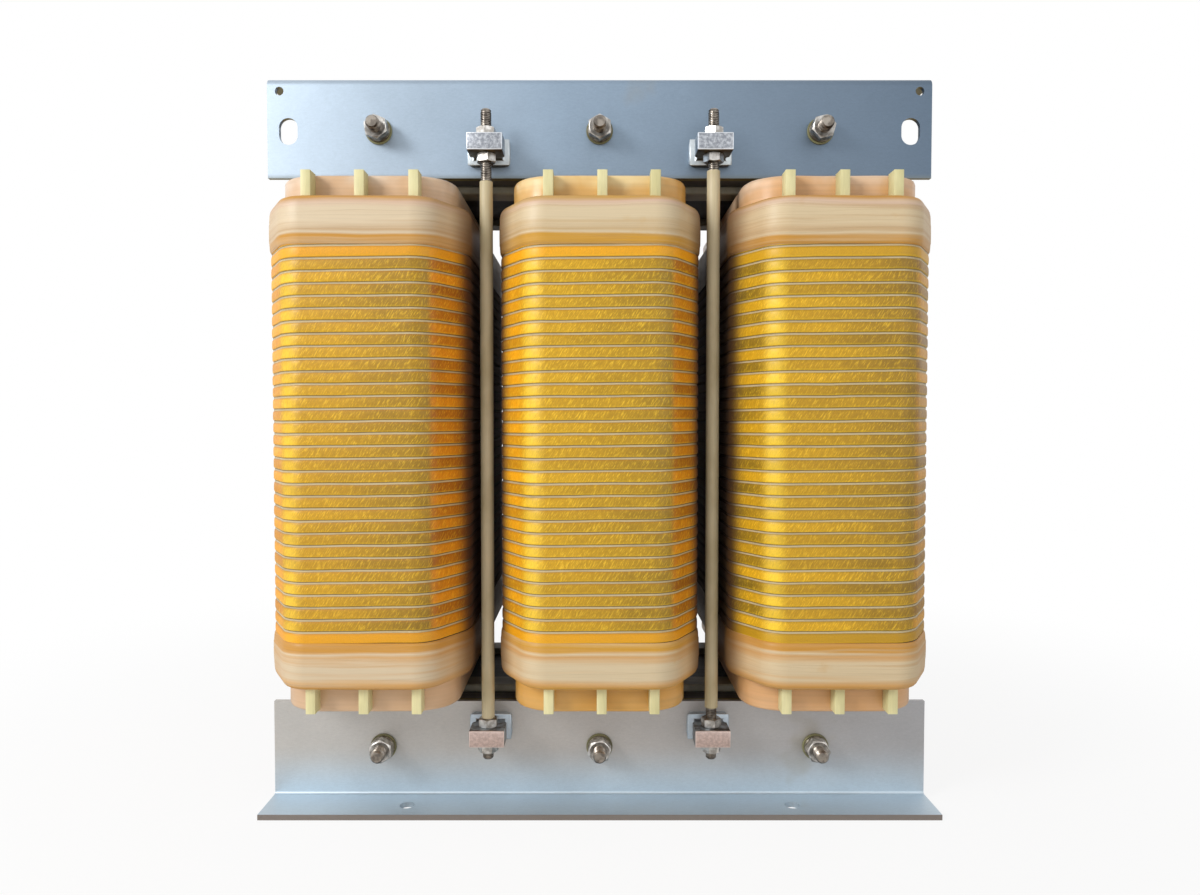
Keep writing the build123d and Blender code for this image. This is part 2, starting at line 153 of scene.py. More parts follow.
class Piece:
    """A mesh that is shaped in edit mode, in millimetres, and then handed to the frame."""

    def __init__(self, name: str, shape: bpy.types.Object) -> None:
        """Takes over the object that holds the mesh, and names both."""
        self.shape = shape
        shape.name = name
        shape.data.name = name

    @classmethod
    def block(cls, name: str, low: Sequence[float], high: Sequence[float]) -> "Piece":
        """Starts a piece from a block.

        Args:
            name: The piece's name.
            low: The block's lowest corner.
            high: The block's highest corner.

        Returns:
            The piece, in edit mode.
        """
        start_fresh()
        middle = [(a + b) / 2 * MM for a, b in zip(low, high)]
        size = [(b - a) * MM for a, b in zip(low, high)]
        bpy.ops.mesh.primitive_cube_add(size=1, location=middle, scale=size)
        piece = cls(name, bpy.context.object)
        piece.apply_place()
        return piece.edit()

    @classmethod
    def turned(cls, name: str, profile: Sequence[Level], sides: int) -> "Piece":
        """Makes a piece round the Z axis from its profile.

        Args:
            name: The piece's name.
            profile: Heights and radii, from the lowest to the highest.
            sides: The number of sides.

        Returns:
            The piece, in edit mode, with its top end selected.
        """
        start_fresh()
        (bottom, first), (second, radius) = profile[0], profile[1]
        bpy.ops.mesh.primitive_cone_add(
            vertices=sides,
            radius1=first * MM,
            radius2=radius * MM,
            depth=(second - bottom) * MM,
            location=(0, 0, (bottom + second) / 2 * MM),
        )
        piece = cls(name, bpy.context.object)
        piece.apply_place()
        piece.edit()
        piece.pick(lambda centre, normal: normal.z > 0.99)
        last = profile[1]
        for height, radius in profile[2:]:
            piece.extrude((0, 0, height - last[0]))
            piece.resize((radius / last[1], radius / last[1], 1), (0, 0, 0))
            last = (height, radius)
        return piece

    def edit(self) -> "Piece":
        """Opens the piece in edit mode."""
        self.focus()
        bpy.ops.object.mode_set(mode="EDIT")
        return self

    def focus(self) -> None:
        """Selects the piece alone, out of edit mode."""
        start_fresh()
        bpy.context.view_layer.objects.active = self.shape
        self.shape.select_set(True)

    def modify(self, kind: str, **settings: object) -> "Piece":
        """Applies a modifier.

        Args:
            kind: The modifier's type.
            settings: Its settings.

        Returns:
            The piece.
        """
        self.focus()
        bpy.ops.object.modifier_add(type=kind)
        modifier = self.shape.modifiers[-1]
        for setting, value in settings.items():
            setattr(modifier, setting, value)
        bpy.ops.object.modifier_apply(modifier=modifier.name)
        return self

    def apply_place(self) -> None:
        """Puts the object's place, turn and scale into its mesh."""
        self.focus()
        bpy.ops.object.transform_apply(location=True, rotation=True, scale=True)

    def pick(self, test: Test) -> "Piece":
        """Selects the faces whose middle and normal pass a test.

        Args:
            test: Takes a face's middle, in millimetres, and its normal.

        Returns:
            The piece.
        """
        bpy.ops.mesh.select_mode(type="FACE")
        bpy.ops.mesh.select_all(action="DESELECT")
        mesh = bmesh.from_edit_mesh(self.shape.data)
        for face in mesh.faces:
            face.select_set(test(face.calc_center_median() / MM, face.normal))
        bmesh.update_edit_mesh(self.shape.data)
        return self

    def pick_edges(self, test: Test) -> "Piece":
        """Selects the edges whose middle and direction pass a test.

        Args:
            test: Takes an edge's middle, in millimetres, and its direction.

        Returns:
            The piece.
        """
        bpy.ops.mesh.select_mode(type="EDGE")
        bpy.ops.mesh.select_all(action="DESELECT")
        mesh = bmesh.from_edit_mesh(self.shape.data)
        for edge in mesh.edges:
            start, end = (vertex.co for vertex in edge.verts)
            edge.select_set(test((start + end) / 2 / MM, (end - start).normalized()))
        bmesh.update_edit_mesh(self.shape.data)
        return self

    def extrude(self, shift: Sequence[float]) -> "Piece":
        """Extrudes the selection by a shift."""
        move = {"value": [part * MM for part in shift]}
        bpy.ops.mesh.extrude_region_move(TRANSFORM_OT_translate=move)
        return self

    def resize(self, factors: Sequence[float], about: Sequence[float]) -> "Piece":
        """Scales the selection about a point."""
        centre = [part * MM for part in about]
        bpy.ops.transform.resize(value=factors, center_override=centre)
        return self

    def inset(self, width: float) -> "Piece":
        """Insets the selected faces as one region."""
        bpy.ops.mesh.inset(thickness=width * MM, depth=0, use_even_offset=True)
        return self

    def bevel(self, width: float, segments: int = 1) -> "Piece":
        """Bevels the selected edges."""
        bpy.ops.mesh.bevel(offset=width * MM, segments=segments, affect="EDGES")
        return self

    def cut(self, point: Sequence[float], normal: Sequence[float], trim: bool = False) -> "Piece":
        """Cuts the whole mesh with a plane.

        Args:
            point: A point of the plane.
            normal: The plane's normal.
            trim: Takes away what lies past the plane, and closes the cut.

        Returns:
            The piece.
        """
        bpy.ops.mesh.select_all(action="SELECT")
        place = [part * MM for part in point]
        bpy.ops.mesh.bisect(plane_co=place, plane_no=normal, use_fill=trim, clear_outer=trim)
        return self

    def bore(self, wall: float) -> "Piece":
        """Opens the piece from its lowest end to its highest.

        Args:
            wall: The width that is left round the bore at either end.

        Returns:
            The piece.
        """
        self.pick(lambda centre, normal: abs(normal.z) > 0.999)
        self.inset(wall)
        bpy.ops.mesh.bridge_edge_loops()
        return self

    def closed(self) -> "Piece":
        """Merges doubles, points the faces outwards and leaves edit mode."""
        bpy.ops.mesh.select_all(action="SELECT")
        bpy.ops.mesh.remove_doubles(threshold=0.00001)
        bpy.ops.mesh.normals_make_consistent(inside=False)
        start_fresh()
        return self

    def copy(
        self, name: str, shift: Sequence[float], turns: Sequence[float] = (0, 0, 0)
    ) -> "Piece":
        """Copies the piece with a mesh of its own.

        Args:
            name: The copy's name.
            shift: Where the copy's origin goes.
            turns: The copy's turns about X, Y and Z, in degrees.

        Returns:
            The copy.
        """
        self.focus()
        bpy.ops.object.duplicate(linked=False)
        twin = Piece(name, bpy.context.object)
        twin.shape.rotation_euler = [math.radians(turn) for turn in turns]
        twin.shape.location = [part * MM for part in shift]
        twin.apply_place()
        return twin

    def waver(self, amount: float, grain: float, direction: str) -> "Piece":
        """Makes hand-laid material wander a little.

        Args:
            amount: How far it wanders, from end to end.
            grain: The size of its waves.
            direction: The axis or NORMAL that it wanders along.

        Returns:
            The piece.
        """
        clouds = bpy.data.textures.new(self.shape.name + "_waver", "CLOUDS")
        clouds.noise_scale = grain * MM
        place = {"texture_coords": "LOCAL", "direction": direction}
        return self.modify("DISPLACE", texture=clouds, strength=amount * MM, **place)

    def drop(self) -> None:
        """Removes the piece, once its copies are made."""
        bpy.data.objects.remove(self.shape, do_unlink=True)

    def hand_over(
        self, finish: bpy.types.Material, slot: Slot, nodes: Iterable[str], angle: float = 35
    ) -> None:
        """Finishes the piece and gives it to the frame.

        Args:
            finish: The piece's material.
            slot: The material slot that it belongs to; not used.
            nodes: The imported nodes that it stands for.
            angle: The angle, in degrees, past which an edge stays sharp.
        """
        self.focus()
        bpy.ops.object.shade_smooth_by_angle(angle=math.radians(angle))
        self.shape.data.materials.clear()
        self.shape.data.materials.append(finish)
        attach(self.shape, "root")
        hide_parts(*nodes)
        LOG.info("%s: %d faces", self.shape.name, len(self.shape.data.polygons))


def joined(name: str, pieces: Sequence[Piece]) -> Piece:
    """Joins pieces into one.

    Args:
        name: The name of the whole.
        pieces: The pieces.

    Returns:
        The whole.
    """
    start_fresh()
    for piece in pieces:
        piece.shape.select_set(True)
    bpy.context.view_layer.objects.active = pieces[0].shape
    bpy.ops.object.join()
    return Piece(name, bpy.context.object)


# Shader maths.


class Value:
    """A number in a shader, which Python's operators turn into Math nodes."""

    def __init__(self, bench: "Tree", socket: bpy.types.NodeSocket) -> None:
        """Wraps a socket that gives a number."""
        self.bench = bench
        self.socket = socket

    def __add__(self, other: "Number") -> "Value":
        """Adds a number."""
        return self.bench.maths("ADD", self, other)

    __radd__ = __add__

    def __mul__(self, other: "Number") -> "Value":
        """Multiplies by a number."""
        return self.bench.maths("MULTIPLY", self, other)

    __rmul__ = __mul__

    def __sub__(self, other: "Number") -> "Value":
        """Takes a number away."""
        return self.bench.maths("SUBTRACT", self, other)

    def __rsub__(self, other: "Number") -> "Value":
        """Takes this number away from another."""
        return self.bench.maths("SUBTRACT", other, self)

    def __truediv__(self, other: "Number") -> "Value":
        """Divides by a number."""
        return self.bench.maths("DIVIDE", self, other)

    def __rtruediv__(self, other: "Number") -> "Value":
        """Divides another number by this one."""
        return self.bench.maths("DIVIDE", other, self)

    def __abs__(self) -> "Value":
        """Drops the sign."""
        return self.bench.maths("ABSOLUTE", self)

    def __floor__(self) -> "Value":
        """Rounds down."""
        return self.bench.maths("FLOOR", self)

    def between(self, low: float, high: float) -> "Value":
        """Rises smoothly from 0 at one number to 1 at another."""
        inputs = {"Value": self, "From Min": low, "From Max": high}
        node = self.bench.node("ShaderNodeMapRange", {"interpolation_type": "SMOOTHSTEP"}, inputs)
        return Value(self.bench, node.outputs["Result"])


Number = Union[float, Value, bpy.types.NodeSocket]
Paint = Union[bpy.types.NodeSocket, Colour]


class Tree:
    """A node tree under construction."""

    def __init__(self, holder: Union[bpy.types.Material, bpy.types.World]) -> None:
        """Empties the node tree of a material or a world."""
        holder.use_nodes = True
        self.tree = holder.node_tree
        self.tree.nodes.clear()

    def node(
        self, kind: str, settings: Optional[dict] = None, inputs: Optional[dict] = None
    ) -> bpy.types.Node:
        """Adds a node.

        Args:
            kind: The node's type.
            settings: Its own settings, with a ramp's stops under "stops".
            inputs: Values, sockets or numbers for its sockets, by name or place.

        Returns:
            The node.
        """
        node = self.tree.nodes.new(kind)
        for setting, value in (settings or {}).items():
            if setting == "stops":
                ramp = node.color_ramp.elements
                while len(ramp) < len(value):
                    ramp.new(0.5)
                for stop, (position, colour) in zip(ramp, value):
                    stop.position = position
                    stop.color = colour
            else:
                setattr(node, setting, value)
        for socket, value in (inputs or {}).items():
            self.plug(node.inputs[socket], value)
        return node

    def plug(self, socket: bpy.types.NodeSocket, value: object) -> None:
        """Links a socket, or sets it to a constant."""
        if isinstance(value, Value):
            value = value.socket
        if isinstance(value, bpy.types.NodeSocket):
            self.tree.links.new(value, socket)
        else:
            socket.default_value = value

    def maths(self, operation: str, *values: Number) -> Value:
        """Adds a Math node with that operation on those numbers."""
        node = self.node("ShaderNodeMath", {"operation": operation}, dict(enumerate(values)))
        return Value(self, node.outputs[0])


class Bench(Tree):
    """A material under construction: a Principled shader and the nodes that feed it."""

    def __init__(self, name: str) -> None:
        """Starts a material of that name."""
        self.material = bpy.data.materials.new(name)
        super().__init__(self.material)
        self.shader = self.node("ShaderNodeBsdfPrincipled")
        self.output = self.node("ShaderNodeOutputMaterial", {}, {"Surface": self.shader.outputs[0]})
        self.place = self.node("ShaderNodeTexCoord").outputs["Object"]

    def axes(self, vector: Optional[bpy.types.NodeSocket] = None) -> tuple[Value, Value, Value]:
        """Splits a vector, or the place on the object, into its three numbers."""
        node = self.node("ShaderNodeSeparateXYZ", {}, {0: vector or self.place})
        return tuple(Value(self, socket) for socket in node.outputs)

    def vector(self, x: Number, y: Number, z: Number) -> bpy.types.NodeSocket:
        """Joins three numbers into a vector."""
        return self.node("ShaderNodeCombineXYZ", {}, {0: x, 1: y, 2: z}).outputs[0]

    def noise(
        self, vector: bpy.types.NodeSocket, scale: float, detail: float = 3, roughness: float = 0.5
    ) -> Value:
        """Adds a noise, which lies mostly near 0.5."""
        inputs = {"Vector": vector, "Scale": scale, "Detail": detail, "Roughness": roughness}
        return Value(self, self.node("ShaderNodeTexNoise", {}, inputs).outputs[0])

    def mix(
        self, factor: Number, below: Paint, above: Paint, blend: str = "MIX"
    ) -> bpy.types.NodeSocket:
        """Mixes two colours, where the factor is the share of the second."""
        settings = {"data_type": "RGBA", "blend_type": blend, "clamp_factor": True}
        return self.node("ShaderNodeMix", settings, {0: factor, 6: below, 7: above}).outputs[2]

    def ramp(self, factor: Number, stops: Sequence[tuple[float, Colour]]) -> bpy.types.NodeSocket:
        """Turns a number into a colour, by positions from 0 to 1 and their colours."""
        return self.node("ShaderNodeValToRGB", {"stops": stops}, {0: factor}).outputs[0]

    def shade(self, colour: Paint, factor: Number, strength: float) -> bpy.types.NodeSocket:
        """Lightens or darkens a colour about a factor of one half.

        Args:
            colour: The colour.
            factor: A number about one half.
            strength: How far the colour swings.

        Returns:
            The shaded colour.
        """
        level = 1 + (factor - 0.5) * strength
        grey = self.vector(level, level, level)
        return self.mix(1.0, colour, grey, "MULTIPLY")

    def recess(self, local: Value, start: float, end: float) -> Value:
        """Gives how deep a place lies in the gap between two coils, where the finishes paint shade.

        Args:
            local: The place across its own coil, in metres.
            start: Where the gap starts to close in.
            end: Where it is deepest.

        Returns:
            The depth, from 0 to 1, and 0 on the outer sides of the outer coils.
        """
        facing = (COIL_PITCH - abs(self.axes()[0])).between(0.0, 0.001)
        return abs(local).between(start, end) * facing

    def normal_z(self) -> Value:
        """Gives how far the surface faces up."""
        return self.axes(self.node("ShaderNodeNewGeometry").outputs["Normal"])[2]

    def bumped(self, height: Value, depth: float) -> None:
        """Gives the surface a relief, with its depth in millimetres."""
        inputs = {"Height": height, "Distance": depth * MM, "Strength": 1.0}
        bump = self.node("ShaderNodeBump", {}, inputs)
        self.plug(self.shader.inputs["Normal"], bump.outputs[0])

    def finished(self, **sockets: object) -> bpy.types.Material:
        """Sets the shader's sockets and gives the material.

        Args:
            sockets: Values for the sockets, with underscores for the spaces in their names.

        Returns:
            The material.
        """
        for name, value in sockets.items():
            self.plug(self.shader.inputs[name.replace("_", " ")], value)
        return self.material


# Finishes.


@dataclass(frozen=True)
class SheetFinish:
    """Zinc-plated sheet: a satin tone that drifts along the clamp as a painted reflection, another
    tone towards the bottom, a stained cut edge, and the edge colour on faces that turn down.
    """

    name: str
    left: Colour
    middle: Colour
    right: Colour
    low: Colour
    low_from: float
    low_to: float
    edge: Colour

    def material(self) -> bpy.types.Material:
        """Builds the material."""
        bench = Bench(self.name)
        x, y, z = bench.axes()
        along = x / 0.5 + 0.5
        # The tone's change from left to right is a painted reflection.
        tone = bench.ramp(along, [(0.0, self.left), (0.45, self.middle), (1.0, self.right)])
        tone = bench.mix(1 - z.between(self.low_from * MM, self.low_to * MM), tone, self.low)
        cloud = bench.noise(bench.place, 9, 4, 0.6)
        grain = bench.noise(bench.vector(x * 0.35, y, z), 900, 2)
        speck = bench.noise(bench.place, 2200, 1)
        tone = bench.shade(tone, cloud, 0.35)
        tone = bench.shade(tone, grain, 0.16)
        tone = bench.shade(tone, speck, 0.16)
        # Faces that turn down take the edge colour.
        under = (0 - bench.normal_z()).between(0.6, 0.9)
        tone = bench.mix(under, tone, self.edge)
        tip = abs(y).between(CLAMP_TIP, CLAMP_TIP + 0.0004)
        tone = bench.mix(tip * 0.8, tone, self.edge)
        stain = cloud.between(0.62, 0.72) * 0.3
        tone = bench.mix(stain, tone, ink(150, 140, 112))
        rough = 0.36 + cloud * 0.2 + grain * 0.05
        bench.bumped(grain * 0.5 + speck * 0.5, 0.02)
        return bench.finished(Base_Color=tone, Metallic=0.75, Roughness=rough)


@dataclass(frozen=True)
class TapeFinish:
    """Varnished glass-fibre tape over flat conductor, one turn above the other."""

    name: str
    centre: float
    flat: Colour
    # olive: painted shade towards the right of the front, mixed with patchy tone.
    olive: Colour
    light: Colour
    # glow: a painted highlight, on the rounded front corner and along the lower edge of each turn.
    glow: Colour
    # left to right_deep: the slants' colours, which are painted light.
    left: Colour
    left_deep: Colour
    right: Colour
    right_deep: Colour
    pitch: float = 8.5
    turns: int = 32
    contrast: float = 0.1

    def material(self) -> bpy.types.Material:
        """Builds the material."""
        bench = Bench(self.name)
        wrap = bench.node("ShaderNodeUVMap", {"uv_map": "UVMap"}).outputs[0]
        along, rise, _ = bench.axes(wrap)
        local = bench.axes()[0] - self.centre * MM
        turn = math.floor(rise)
        phase = rise - turn
        height = rise * (self.pitch * MM)
        lean = math.radians(60)
        across = height * math.cos(lean) - along * math.sin(lean)
        with_it = along * math.cos(lean) + height * math.sin(lean)
        streak = bench.noise(bench.vector(across * 1350, with_it * 230, turn * 3.7), 1, 2, 0.6)
        fine = bench.noise(bench.vector(across * 3000, with_it * 700, turn * 1.3), 1, 2)
        patch = bench.noise(bench.vector(along * 26, turn * 0.61, self.centre * 0.01), 1, 3)
        per_turn = bench.noise(bench.vector(turn * 0.83, self.centre * 0.01, 0.5), 1.7, 0)
        odd = bench.maths("MODULO", turn, 2.0)
        # The front flat turns olive towards its right end: painted shade, mixed with patchy tone.
        painted_shade_right = local.between(-0.035, 0.05)
        flat = bench.mix(painted_shade_right * 0.8 + (patch - 0.5) * 1.2, self.flat, self.olive)
        # A painted highlight on the rounded front left corner.
        glow = 1 - abs(local + FRONT_EDGE).between(0.001, 0.011)
        flat = bench.mix(glow * (0.55 + phase * -0.3 + patch * 0.4), flat, self.glow)
        # The colours of the left and right slants stand for how the light falls on them: painted
        # light. From turn to turn they swing between a deep and a lighter tone.
        choice = (odd * 0.4 + patch * 0.8 + per_turn * 0.3).between(0.3, 1.05)
        left = bench.mix(choice, self.left_deep, self.left)
        right = bench.mix(choice, self.right_deep, self.right)
        tone = bench.mix(local.between(FRONT_EDGE, FRONT_EDGE + 0.0045), flat, right)
        tone = bench.mix(1 - local.between(-0.058, -0.05), tone, left)
        plain = rise.between(self.turns - 1.02, self.turns - 0.99)
        plain = plain + 1 - rise.between(0.98, 1.0)
        bright = streak.between(0.5, 0.7) * (1 - plain)
        tone = bench.mix(bright * (0.62 - painted_shade_right * 0.12), tone, self.light)
        tone = bench.mix(plain * 0.7, tone, self.left)
        tone = bench.shade(tone, streak * (1 - plain) + plain * 0.5, 0.55)
        tone = bench.shade(tone, fine, 0.55)
        tone = bench.shade(tone, per_turn + odd * self.contrast, 0.55)
        # Each turn is lighter along its lower edge, a painted highlight, and darker towards its
        # top, painted shade.
        painted_turn_highlight = 1 - phase.between(0.03, 0.2)
        tone = bench.mix(painted_turn_highlight * 0.3, tone, self.glow)
        tone = bench.mix(phase.between(0.6, 0.8) * 0.4, tone, self.right_deep)
        # The groove's dark colour is a painted shadow under the turn above.
        gap = phase.between(0.795, 0.82)
        cord = 1 - abs(phase - 0.885).between(0.05, 0.085)
        groove = bench.mix(cord * (0.5 + patch), ink(84, 66, 30), ink(206, 190, 150))
        tone = bench.mix(gap, tone, groove)
        shadow = bench.recess(local, 0.059, 0.0715)
        shadow = shadow * shadow
        tone = bench.mix(shadow * 0.92, tone, ink(58, 26, 6))
        bench.bumped(streak * 0.7 + fine * 0.3, 0.16)
        rough = 0.42 + fine * 0.2 + shadow * 0.4
        coats = {"Coat_Weight": 0.13 * (1 - shadow), "Coat_Roughness": 0.25}
        return bench.finished(Base_Color=tone, Roughness=rough, **coats)


@dataclass(frozen=True)
class BandFinish:
    """Layers of shrunk tape round the ends of a winding, soaked with varnish at both edges."""

    name: str
    centre: float
    turns_edge: float
    coil_edge: float
    cream: Colour
    tan: Colour
    amber: Colour
    end: Colour
    line: Colour

    def material(self) -> bpy.types.Material:
        """Builds the material."""
        bench = Bench(self.name)
        x, y, z = bench.axes()
        height = (self.coil_edge - self.turns_edge) * MM
        away = (z - self.turns_edge * MM) / height
        wave = bench.noise(bench.vector(x * 10, y * 10, z * 50), 1, 2)
        bent = z + (wave - 0.5) * 0.006
        layer = bench.noise(bench.vector(x * 4, y * 4, bent * 210), 1, 2, 0.5)
        seam = bench.noise(bench.vector(x * 4, y * 4, bent * 210 + 5.0), 1, 1)
        thread = bench.noise(bench.vector(x * 26, y * 26, z * 2600), 1, 2)
        blot = bench.noise(bench.place, 30, 4, 0.6)
        away = away + (wave - 0.5) * 0.18
        stops = [
            (0.0, self.amber),
            (0.17, self.amber),
            (0.22, self.cream),
            (0.28, self.tan),
            (0.42, self.cream),
            (0.76, self.cream),
            (0.88, self.end),
            (0.97, self.amber),
        ]
        tone = bench.ramp(away, stops)
        local = x - self.centre * MM
        # The slanted sides turn towards tan: painted shade.
        side = abs(local).between(0.046, 0.066)
        tone = bench.mix(side * 0.45, tone, self.tan)
        tone = bench.mix(layer.between(0.48, 0.72) * 0.45, tone, self.cream)
        tone = bench.mix((1 - layer).between(0.48, 0.72) * 0.5, tone, self.tan)
        cut = 1 - abs(seam - 0.5).between(0.006, 0.03)
        tone = bench.mix(cut * 0.13, tone, self.line)
        tone = bench.mix(blot.between(0.6, 0.75) * 0.3, tone, self.amber)
        tone = bench.shade(tone, thread, 0.2)
        shadow = bench.recess(local, 0.06, 0.0725)
        tone = bench.mix(shadow * 0.8, tone, ink(96, 60, 26))
        bench.bumped(layer * 0.6 + thread * 0.15 - cut * 0.2, 0.3)
        rough = 0.45 + blot * 0.2
        coats = {"Coat_Weight": 0.12, "Coat_Roughness": 0.3}
        return bench.finished(Base_Color=tone, Roughness=rough, **coats)


@dataclass(frozen=True)
class WrapFinish:
    """Varnished wrap of an inner layer: smooth, clouded and deeper where varnish has run."""

    name: str
    pale: Colour
    deep: Colour
    low: float = 100.0
    high: float = 450.0

    def material(self) -> bpy.types.Material:
        """Builds the material."""
        bench = Bench(self.name)
        x, y, z = bench.axes()
        run = bench.noise(bench.vector(x * 60, y * 60, z * 14), 1, 3)
        layer = bench.noise(bench.vector(x * 6, y * 6, z * 420), 1, 3)
        cloud = bench.noise(bench.place, 24, 3)
        inward = abs(z - (self.low + self.high) / 2 * MM)
        half = (self.high - self.low) / 2 * MM
        stain = 1 - (inward + (run - 0.5) * 0.012).between(half + 0.001, half + 0.009)
        tone = bench.mix(cloud.between(0.35, 0.7), self.pale, self.deep)
        tone = bench.mix(stain * 0.7, tone, self.deep)
        # Darker towards the bottom.
        tone = bench.mix((1 - z.between(0.1, 0.4)) * 0.8, tone, self.deep)
        tone = bench.shade(tone, layer, 0.3)
        bench.bumped(layer * 0.5 + run * 0.5, 0.15)
        rough = 0.3 + cloud * 0.2
        return bench.finished(Base_Color=tone, Roughness=rough, Coat_Weight=0.4, Coat_Roughness=0.2)


@dataclass(frozen=True)
class LaminateFinish:
    """Glass-fibre laminate, with its weave and a little dirt."""

    name: str
    pale: Colour
    deep: Colour
    stretch: float = 1.0

    def material(self) -> bpy.types.Material:
        """Builds the material."""
        bench = Bench(self.name)
        x, y, z = bench.axes()
        fibre = bench.noise(bench.vector(x * 900, y * 900, z * 900 * self.stretch), 1, 2)
        cloud = bench.noise(bench.vector(x * 40, y * 40, z * 25), 1, 3)
        tone = bench.mix(cloud.between(0.35, 0.7), self.pale, self.deep)
        tone = bench.shade(tone, fibre, 0.22)
        bench.bumped(fibre, 0.04)
        return bench.finished(Base_Color=tone, Roughness=0.42 + cloud * 0.15)


@dataclass(frozen=True)
class SteelFinish:
    """Plated steel of the studs, rods, nuts and washers: clouded, and duller on faces that turn
    down, which is painted shade.
    """

    name: str
    bright: Colour
    dull: Colour
    metal: float = 0.9

    def material(self) -> bpy.types.Material:
        """Builds the material."""
        bench = Bench(self.name)
        cloud = bench.noise(bench.place, 260, 3)
        fine = bench.noise(bench.place, 2400, 2)
        # Faces that turn down go towards the second colour: painted shade.
        down = (0 - bench.normal_z()).between(-0.2, 0.9)
        tone = bench.mix(cloud.between(0.35, 0.65) * 0.6 + down * 0.5, self.bright, self.dull)
        tone = bench.shade(tone, fine, 0.3)
        bench.bumped(fine, 0.015)
        return bench.finished(Base_Color=tone, Metallic=self.metal, Roughness=0.24 + cloud * 0.2)


@dataclass(frozen=True)
class LugFinish:
    """Galvanised castings: a mottled or ground face with a painted highlight round its edge, a
    duller body, and painted shade on faces that turn down.
    """

    name: str
    face: Colour
    face_dull: Colour
    rim: Colour
    body: Colour
    flange: Colour
    # under: painted shade on faces that turn down.
    under: Colour
    relief: float

    def material(self) -> bpy.types.Material:
        """Builds the material."""
        bench = Bench(self.name)
        lumps = bench.noise(bench.place, 470, 3, 0.6)
        cloud = bench.noise(bench.place, 120, 2)
        _, y, _ = bench.axes()
        reach = abs(y)
        face = bench.mix(lumps.between(0.38, 0.66), self.face_dull, self.face)
        body = bench.mix(cloud.between(0.35, 0.7), self.body, self.flange)
        body = bench.mix(reach.between(0.0925, 0.0945), self.flange, body)
        # Faces that turn down take the under colour: painted shade.
        body = bench.mix((0 - bench.normal_z()).between(0.3, 0.8), body, self.under)
        # A painted highlight round the edge of the face.
        tone = bench.mix(reach.between(LUG_FACE - 0.0014, LUG_FACE - 0.0009), body, self.rim)
        tone = bench.mix(reach.between(LUG_FACE - 0.0003, LUG_FACE - 0.0001), tone, face)
        tone = bench.shade(tone, lumps, 0.3)
        bench.bumped(lumps, self.relief)
        return bench.finished(Base_Color=tone, Metallic=0.75, Roughness=0.28 + cloud * 0.25)


@dataclass(frozen=True)
class CoreFinish:
    """Stacked laminations: fine lines across the stack, a dull coat and a trace of rust."""

    name: str

    def material(self) -> bpy.types.Material:
        """Builds the material."""
        bench = Bench(self.name)
        x, y, z = bench.axes()
        sheet = bench.noise(bench.vector(x * 2, y * 2400, z * 2), 1, 1)
        cloud = bench.noise(bench.place, 30, 3)
        tone = bench.mix(sheet.between(0.4, 0.6), ink(58, 60, 64), ink(104, 106, 110))
        tone = bench.mix(cloud.between(0.58, 0.75) * 0.5, tone, ink(96, 74, 56))
        bench.bumped(sheet, 0.08)
        return bench.finished(Base_Color=tone, Metallic=0.3, Roughness=0.5 + cloud * 0.2)


# Sub-assemblies.


